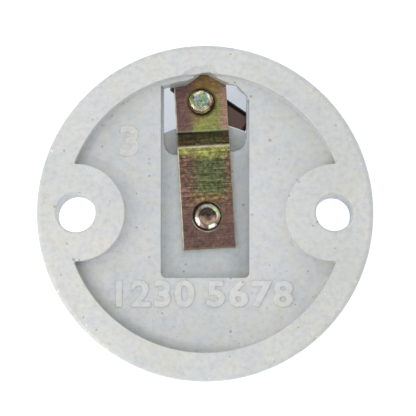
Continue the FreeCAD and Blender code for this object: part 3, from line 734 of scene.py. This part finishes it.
def makeClampFinish():
    # mauve-brown film; the lip that is bent down is painted nearly black as shade
    c = clampFilm
    material, tree, shader = newMaterial("passivatedClamp")
    place = objectPlace(tree)
    centred = moved(tree, place, Location=(-c["axis"][0] * mm, -c["axis"][1] * mm, 0))
    turned = moved(tree, centred, Rotation=(0, 0, math.radians(-c["turn"])))
    cloud = noiseAt(tree, place, 500, 4, 0.6)
    base = ramp(tree, cloud, [(0.35, c["brown"]), (0.65, c["mauve"])])
    # painted shade: nearly black on the bent-down lip
    outward = fromMm(tree, splitPlace(tree, turned)[1], c["lipStart"], c["lipFull"])
    base = times(tree, base, ramp(tree, outward, [(0.0, 1), (1.0, c["lipShade"])]))
    dress(tree, shader, base, c["metal"], cloud, 0.34, 0.48)
    bumpFrom(tree, shader, cloud, 0.03)
    return material


stripFinish = makePassivated()
clampFinish = makeClampFinish()
screwFinish = makeScrewFinish()
rivetFinish = makeRivetFinish()
# tints, roughness, depth of the bumps and scale
bright = {
    "shellStrip": (((0.15, 0.09, 0.07), (0.22, 0.16, 0.07), (0.16, 0.18, 0.08)), 0.28, 0.03, 300),
    "shell": (((0.62, 0.62, 0.60), (0.74, 0.74, 0.72)), 0.22, 0.02, 220),
    "spring": (((0.62, 0.42, 0.18), (0.74, 0.55, 0.27)), 0.24, 0.02, 300),
}
shellStripFinish = makeBright("passivatedShellStrip", *bright["shellStrip"])
shellFinish = makeBright("shellSheet", *bright["shell"])
springFinish = makeBright("springBrass", *bright["spring"])
print("metal finishes made")


# Strips, clamps and spring

def easedCopy(node, name, width):
    # a copy of the node's mesh, merged, its flat faces joined and its edges broken
    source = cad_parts[node]
    onlyThis(source)
    bpy.ops.object.duplicate()
    piece = bpy.context.object
    piece.name = name
    piece.parent = None
    piece.data = piece.data.copy()
    piece.data.name = name
    onlyThis(piece)
    bpy.ops.object.mode_set(mode="EDIT")
    bpy.ops.mesh.select_all(action="SELECT")
    bpy.ops.mesh.remove_doubles(threshold=0.000003)
    bpy.ops.mesh.dissolve_limited(angle_limit=math.radians(0.6))
    bpy.ops.object.mode_set(mode="OBJECT")
    step = piece.modifiers.new("broken edges", "BEVEL")
    step.width = width * mm
    step.segments = 2
    step.limit_method = "ANGLE"
    step.angle_limit = math.radians(40)
    bpy.ops.object.modifier_apply(modifier=step.name)
    return piece


# name, body, slot, finish and width of the broken edges
sheetPieces = {
    "line_strip": ("lineStrip", "holder", "passivated_steel", stripFinish, 0.10),
    "line_clamp_plate": ("lineClamp", "line_clamp", "passivated_steel", clampFinish, 0.08),
    "shell_strip": ("shellStrip", "holder", "passivated_steel", shellStripFinish, 0.10),
    "shell_clamp_plate": ("shellClamp", "shell_clamp", "passivated_steel", clampFinish, 0.08),
    "centre_spring": ("centreLeaf", "holder", "spring_brass", springFinish, 0.05),
}


def makeSheetPieces():
    for node, (name, body, slotName, finish, edge) in sheetPieces.items():
        piece = easedCopy(node, name, edge)
        finishPiece(piece, body, finish, [node], 30)
        if node == "centre_spring":
            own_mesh(piece)
    print("strips, clamps and spring made")


makeSheetPieces()

for node, finish in (("screw_shell", shellFinish), ("shell_fixing_screws", screwFinish),
                     ("contact_button", springFinish)):
    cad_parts[node].material_slots[0].material = finish


# Rivet with its rim rolled unevenly

rivet = {
    "place": (0.45, -0.25), "headFront": 23.1, "headRadius": 2.9, "headRounding": 0.6, "seatLow": 24.0,
    "shank": 1.6, "seat": 31.5, "rollRadius": 2.43, "top": 32.35, "dishRadius": 1.55, "sides": 72,
    "dent": 0.10,
    # radius from the roll's, and depth under the top
    "roll": ((0, 0.42), (-0.06, 0.22), (-0.2, 0.07), (-0.42, 0)),
    "dish": ((0.2, 0.02), (0.06, 0.1), (-0.06, 0.28)),
    "hollow": ((1.29, 0.45), (1.0, 0.72), (0.55, 1.15), (0.2, 1.45), (0.06, 1.52)),
}


def makeRivet():
    r = rivet
    roll, top = r["rollRadius"], r["top"]
    rings = [(r["headRadius"], r["headFront"]), (r["headRadius"], r["seatLow"]), (r["shank"], r["seatLow"]),
             (r["shank"], r["seat"]), (roll - 0.06, r["seat"]), (roll, r["seat"] + 0.2)]
    for radius, part in ((roll, "roll"), (r["dishRadius"], "dish"), (0, "hollow")):
        rings += [(radius + out, top - deep) for out, deep in r[part]]
    piece = lathe("rivet", rings, r["sides"])
    roundEdges(piece, r["headRounding"], 5, lambda e: heightIs(e, r["headFront"]))
    for v in piece.data.vertices:
        if v.co.z > (r["seat"] + 0.1) * mm:
            # pressed in here and there, never outward
            push = max(0.0, noise.noise(v.co * 900) + noise.noise(v.co * 2300) * 0.5 + 0.6) * r["dent"]
            away = math.hypot(v.co.x, v.co.y)
            if away > r["dishRadius"] * mm:
                v.co.x -= v.co.x / away * push * 0.6 * mm
                v.co.y -= v.co.y / away * push * 0.6 * mm
            v.co.z -= push * mm
    placePiece(piece, 0, *r["place"])
    finishPiece(piece, "holder", rivetFinish, ["centre_rivet"], 40)
    print("rivet made")


makeRivet()


# Terminal screws

screw = {
    "crest": 2.27, "pitch": 0.8, "headFront": 24.1, "seat": 26.5, "tip": 30.3, "headRadius": 3.7,
    "slotWidth": 1.0, "slotDepth": 1.1, "linePlace": (-0.764, 20.995), "shellPlace": (0.0, -21.28),
    "turns": 7, "slotTurn": 25, "headRounding": 0.7, "seatRounding": 0.12,
    # radius and share of the pitch of the thread's form
    "form": ((1.88, 0.0), (2.25, 0.40), (2.25, 0.56), (1.88, 1.0)),
    # the rounded point, its proud turned ring and its dimple: radius, and depth under the tip
    "point": ((2.27, 0.72), (2.15, 0.42), (1.97, 0.18), (1.77, 0.10), (1.70, 0.12), (1.64, 0.03), (1.54, 0),
              (1.45, 0.03), (1.36, 0.13), (0.9, 0.18), (0.3, 0.2), (0.12, 0.32)),
}


def makeThread():
    # four points of one thread form, swept by the Screw modifier and trimmed flat at both ends
    s = screw
    bpy.ops.mesh.primitive_circle_add(vertices=4, radius=mm, fill_type="NOTHING")
    thread = bpy.context.object
    bpy.ops.object.mode_set(mode="EDIT")
    mesh = bmesh.from_edit_mesh(thread.data)
    mesh.verts.ensure_lookup_table()
    low = s["seat"] - 1.2
    for v, (radius, share) in zip(mesh.verts, s["form"]):
        v.co = Vector((radius, 0, low + share * s["pitch"])) * mm
    ends = (mesh.verts[0], mesh.verts[3])
    mesh.edges.remove([e for e in mesh.edges if e.verts[0] in ends and e.verts[1] in ends][0])
    bmesh.update_edit_mesh(thread.data)
    bpy.ops.object.mode_set(mode="OBJECT")
    step = thread.modifiers.new("sweep", "SCREW")
    step.screw_offset = s["pitch"] * mm
    step.iterations = s["turns"]
    step.steps = step.render_steps = 48
    step.use_merge_vertices = True
    step.merge_threshold = 0.000002
    bpy.ops.object.modifier_apply(modifier=step.name)
    bpy.ops.object.mode_set(mode="EDIT")
    for height, side in ((s["seat"] - 0.3, "inner"), (s["tip"], "outer")):
        bpy.ops.mesh.select_all(action="SELECT")
        bpy.ops.mesh.bisect(plane_co=(0, 0, height * mm), plane_no=(0, 0, 1), use_fill=True,
                            clear_inner=side == "inner", clear_outer=side == "outer")
    bpy.ops.object.mode_set(mode="OBJECT")
    fixNormals(thread)
    return thread


def makeScrews():
    s = screw
    thread = makeThread()
    point = [(radius, s["tip"] - deep) for radius, deep in s["point"]]
    combine(thread, lathe("blank", [(s["crest"], s["seat"] - 1)] + point, 64), "INTERSECT")
    head = lathe("screwHead", [(s["headRadius"], s["seat"]), (s["headRadius"], s["headFront"])], 64)
    roundEdges(head, s["headRounding"], 5, lambda e: heightIs(e, s["headFront"]))
    roundEdges(head, s["seatRounding"], 2, lambda e: heightIs(e, s["seat"]))
    half = s["slotWidth"] / 2
    front = s["headFront"]
    combine(head, block("slot", (-6, -half, front - 1), (6, half, front + s["slotDepth"])))
    combine(head, thread, "UNION")
    fixNormals(head)
    onlyThis(head)
    bpy.ops.object.duplicate()
    other = bpy.context.object
    turn = s["slotTurn"]
    for piece, name, turned, where, node in (
            (head, "lineScrew", turn, s["linePlace"], "line_screw"),
            (other, "shellScrew", -turn, s["shellPlace"], "shell_screw")):
        piece.name = name
        piece.data.name = name
        placePiece(piece, turned, *where)
        finishPiece(piece, node, screwFinish, [node], 28)
    print("terminal screws made,", len(head.data.polygons), "faces each")


makeScrews()


# Plain raised numbers, pressed with the body

numbers = {
    # text, left and right end, low and high end, height
    "texts": (("1230", -16.0, -1.9, -16.75, -11.85, 0.34), ("5678", 0.3, 15.8, -16.75, -11.85, 0.34),
              ("3", -15.4, -11.9, 10.4, 16.0, 0.204)),
    "sink": 0.15, "spacing": 1.12, "thick": 0.05, "bolder": 0.005, "softEdge": 0.03,
}


def makeNumbers():
    n = numbers
    made = []
    floor = body["recessFloor"] - n["sink"]
    for text, left, right, low, high, rise in n["texts"]:
        bpy.ops.object.text_add()
        piece = bpy.context.object
        piece.data.body = text
        piece.data.extrude = n["thick"]
        piece.data.offset = n["bolder"]
        piece.data.space_character = n["spacing"]
        piece.data.bevel_depth = n["softEdge"]
        piece.data.bevel_resolution = 2
        bpy.ops.object.convert(target="MESH")
        tall = rise + n["sink"]
        corners = [Vector(c) for c in piece.bound_box]
        lowest = [min(c[i] for c in corners) for i in range(3)]
        highest = [max(c[i] for c in corners) for i in range(3)]
        goal = ((left, right), (low, high), (floor, floor + tall))
        size = [(g[1] - g[0]) * mm / (b - a) for g, a, b in zip(goal, lowest, highest)]
        piece.scale = size
        piece.location = [g[0] * mm - a * k for g, a, k in zip(goal, lowest, size)]
        onlyThis(piece)
        applyPlace()
        fixNormals(piece)
        made.append(piece)
    onlyThis(made[0])
    for piece in made[1:]:
        piece.select_set(True)
    bpy.ops.object.join()
    made[0].name = "raisedNumbers"
    made[0].data.name = "raisedNumbers"
    finishPiece(made[0], "holder", porcelainGlaze, (), 40)
    print("raised numbers made")


makeNumbers()


# Floor, camera and light

studio = {
    "distance": 450.0, "tilt": 4.4, "lens": 219.0, "shiftX": 0.0070, "shiftY": 0.0106,
    "keyPlace": (-0.14, 0.03, 0.56), "keySize": 0.60, "keyPower": 0.44, "keyColour": (1.0, 0.985, 0.96),
    "sparkPlace": (-0.30, -0.16, 0.50), "sparkSize": 0.035, "sparkPower": 0.20,
    "sidePlace": (-0.36, -0.30, 0.15), "sideSize": 0.10, "sidePower": 0.42,
    "topPlace": (0.05, 0.42, 0.42), "topSize": 0.16, "topPower": 0.10,
    "skyStrength": 0.70, "skyColour": (0.95, 0.975, 1.0), "sensor": 36, "clip": (0.01, 20),
    "shadeAt": (0, 19, 0), "shadeReach": (12.0, 17.0), "shadeGlow": 0.01, "floorSize": 6,
    "floorColour": (0.89, 0.925, 0.985), "floorRoughness": 0.9, "floorSheen": 0.1,
    "floorTint": (0.985, 0.99, 1.0), "floorGlow": 0.49, "aimAt": (0, 0, 0.035),
}


def seenShare(tree):
    # 1 for what the camera, a mirror or glass looks at, 0 for what lights the object
    path = addNode(tree, "ShaderNodeLightPath")
    seen = calc(tree, "MAXIMUM", path.outputs["Is Camera Ray"], path.outputs["Is Glossy Ray"])
    return calc(tree, "MAXIMUM", seen, path.outputs["Is Transmission Ray"])


def makeFloor():
    bpy.ops.mesh.primitive_plane_add(size=studio["floorSize"])
    floor = bpy.context.object
    floor.name = "floor"
    material, tree, shader = newMaterial("paleFloor")
    # painted shadow: the glow is dimmed in a pool under the window, where the holder shades the floor most
    under = moved(tree, objectPlace(tree), Location=[-c * mm for c in studio["shadeAt"]])
    away = fromMm(tree, lengthOf(tree, under), *studio["shadeReach"])
    dim = ramp(tree, away, [(0, studio["shadeGlow"]), (1, 1)])
    glow = calc(tree, "MULTIPLY", calc(tree, "MULTIPLY", seenShare(tree), dim), studio["floorGlow"])
    for name, value in (("Base Color", studio["floorColour"]), ("Roughness", studio["floorRoughness"]),
                        ("Specular IOR Level", studio["floorSheen"]),
                        ("Emission Color", studio["floorTint"]), ("Emission Strength", glow)):
        feed(tree, value, shader.inputs[name])
    floor.data.materials.append(material)


def makeSky():
    world = bpy.data.worlds.new("studioSky")
    bpy.context.scene.world = world
    world.use_nodes = True
    tree = world.node_tree
    tree.nodes.clear()
    choose = addNode(tree, "ShaderNodeMixShader")
    tree.links.new(seenShare(tree), choose.inputs["Fac"])
    for i, colour, strength in ((1, studio["skyColour"], studio["skyStrength"]), (2, (1, 1, 1), 1.0)):
        sky = addNode(tree, "ShaderNodeBackground", {"Color": (*colour, 1), "Strength": strength})
        tree.links.new(sky.outputs[0], choose.inputs[i])
    out = addNode(tree, "ShaderNodeOutputWorld")
    tree.links.new(choose.outputs[0], out.inputs["Surface"])


def makeLights():
    for name in ("key", "spark", "side", "top"):
        bpy.ops.object.light_add(type="AREA", location=studio[name + "Place"])
        lamp = bpy.context.object
        lamp.name = name + "Light"
        lamp.data.shape = "DISK"
        lamp.data.size = studio[name + "Size"]
        lamp.data.energy = studio[name + "Power"]
        lamp.data.color = studio["keyColour"]
        aim = Vector(studio["aimAt"]) - lamp.location
        lamp.rotation_euler = aim.to_track_quat("-Z", "Y").to_euler()


def makeCamera():
    tilt = math.radians(studio["tilt"])
    away = studio["distance"] * mm
    height = body["height"] * mm + math.cos(tilt) * away
    bpy.ops.object.camera_add(location=(0, -math.sin(tilt) * away, height), rotation=(tilt, 0, 0))
    camera = bpy.context.object
    camera.name = "studioCamera"
    camera.data.lens = studio["lens"]
    camera.data.sensor_width = studio["sensor"]
    camera.data.shift_x = studio["shiftX"]
    camera.data.shift_y = studio["shiftY"]
    camera.data.clip_start, camera.data.clip_end = studio["clip"]
    bpy.context.scene.camera = camera


makeFloor()
makeSky()
makeLights()
makeCamera()
bpy.context.scene.view_settings.view_transform = "Standard"
print("studio made")
